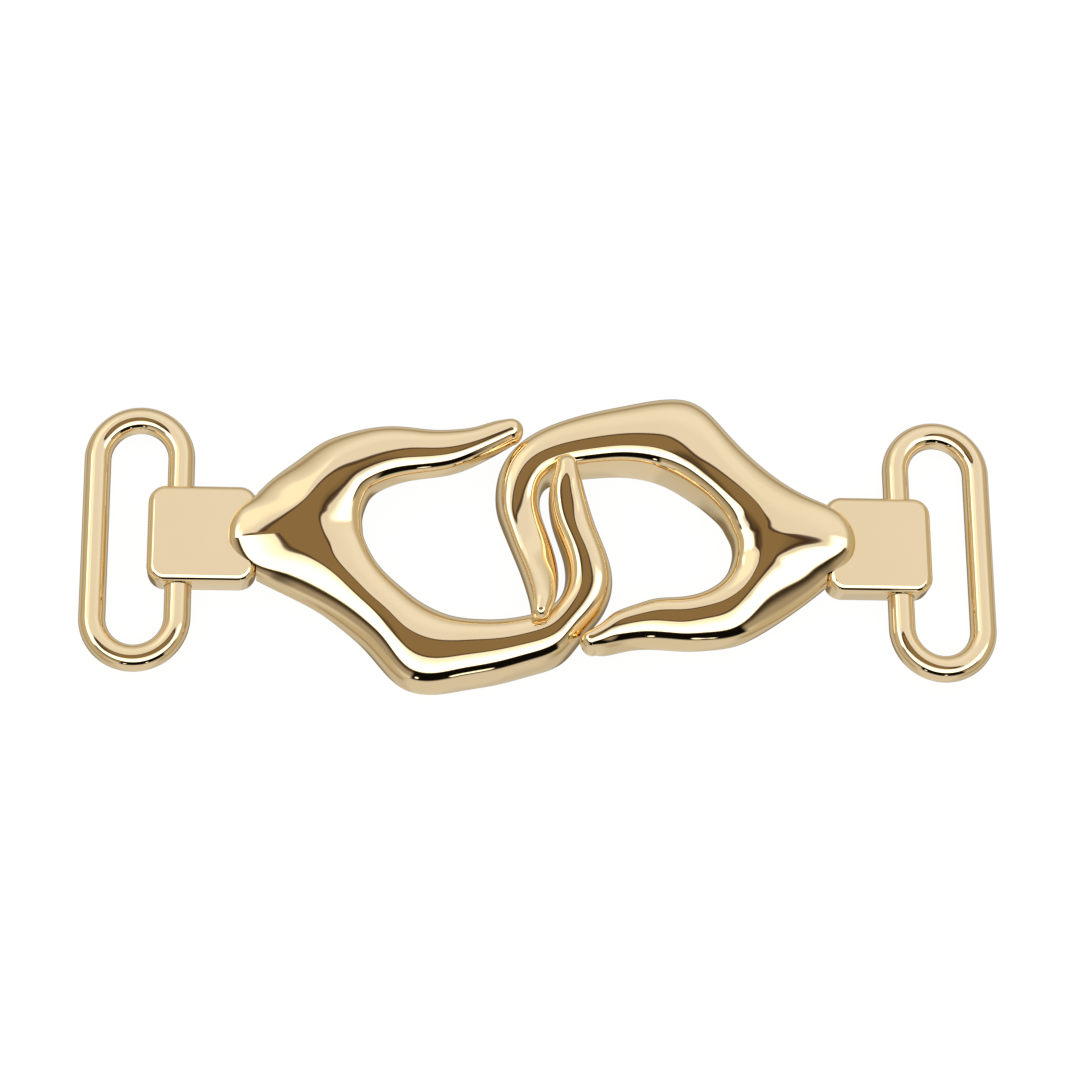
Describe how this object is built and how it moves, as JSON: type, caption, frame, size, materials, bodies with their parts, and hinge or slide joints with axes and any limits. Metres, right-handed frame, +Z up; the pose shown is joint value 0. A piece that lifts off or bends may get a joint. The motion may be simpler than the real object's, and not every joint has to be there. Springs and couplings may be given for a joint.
{
  "type": "interlocking hook clasp buckle",
  "caption": "Two interlocked cast hooks in light gold, each riveted over a flat block that carries an oval wire loop for a strap; both strap loops swing.",
  "frame": {"origin": "middle of the clasp, on the surface that it lies on", "axes": "+X along the strap, from the left hook to the right one; +Z up, away from the flat backs"},
  "size_m": [0.1036, 0.0348, 0.0071],
  "materials": {
    "gold": "mirror-polished light gold plating",
    "gold_worn": "plain light gold plating"
  },
  "bodies": {
    "clasp": {"left_hook": "gold", "right_hook": "gold", "left_block": "gold", "right_block": "gold", "left_rivet": "gold_worn", "right_rivet": "gold_worn"},
    "left_strap_loop": {"left_loop": "gold"},
    "right_strap_loop": {"right_loop": "gold"}
  },
  "joints": [
    {"name": "left_loop_swing", "type": "hinge", "parent": "clasp", "child": "left_strap_loop", "pos_m": [-0.04085, 0, 0.002], "axis": [0, 1, 0], "range_deg": [-154, 145]},
    {"name": "right_loop_swing", "type": "hinge", "parent": "clasp", "child": "right_strap_loop", "pos_m": [0.04085, 0, 0.002], "axis": [0, -1, 0], "range_deg": [-154, 145]}
  ]
}
